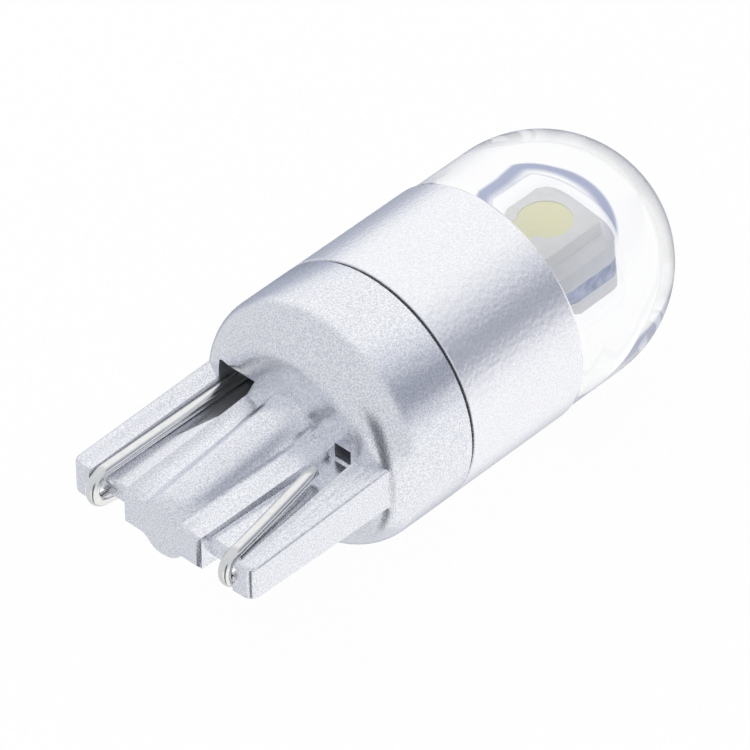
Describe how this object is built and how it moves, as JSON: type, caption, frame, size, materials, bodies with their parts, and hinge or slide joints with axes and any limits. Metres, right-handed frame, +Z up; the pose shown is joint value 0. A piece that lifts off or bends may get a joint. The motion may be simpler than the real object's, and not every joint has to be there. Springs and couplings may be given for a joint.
{
  "type": "wedge base led bulb",
  "caption": "Small capless wedge base bulb: flat plug with folded contact wires, round silver body and a clear domed lens over the light emitting boards.",
  "frame": {"origin": "bottom centre of the bulb's box, on the surface that its round body lies on", "axes": "+X along the bulb's axis from the wedge towards the dome, +Y along the wedge's wide face, +Z up, normal to the wedge's wide face"},
  "size_m": [0.0256, 0.0102, 0.0102],
  "materials": {
    "silver_paint": "satin silver paint with a fine speckle",
    "blasted_aluminium": "blasted, satin, coarse grain",
    "clear_lens": "clear, polished",
    "tinned_wire": "bright tinned",
    "board_white": "white solder mask",
    "core_metal": "rolled, satin",
    "package_white": "moulded white",
    "phosphor": "smooth silicone with phosphor",
    "seal_resin": "dark cured resin",
    "circuit_board": "green solder mask",
    "package_black": "moulded black",
    "ceramic_chip": "fired ceramic",
    "solder": "bright solder",
    "clear_glue": "cured glue"
  },
  "bodies": {
    "root": {"wedge_base": "silver_paint", "heat_sink_sleeve": "blasted_aluminium", "dome_lens": "clear_lens", "contact_wire_left": "tinned_wire", "contact_wire_right": "tinned_wire", "base_seal": "seal_resin", "base_adhesive": "clear_glue", "lens_adhesive": "clear_glue", "thermal_adhesive": "clear_glue", "driver_board": "circuit_board", "rectifier_bridge": "package_black", "rectifier_leads": "solder", "current_regulator": "package_black", "regulator_leads": "solder", "sense_resistor": "package_black", "bleed_resistor": "package_black", "smoothing_capacitor": "ceramic_chip", "solder_joint_left": "solder", "solder_joint_right": "solder", "link_strip_upper": "tinned_wire", "link_strip_lower": "tinned_wire", "core_plate": "core_metal", "led_board_upper": "board_white", "led_board_lower": "board_white", "led_package_upper": "package_white", "led_package_lower": "package_white", "phosphor_upper": "phosphor", "phosphor_lower": "phosphor"}
  },
  "joints": []
}
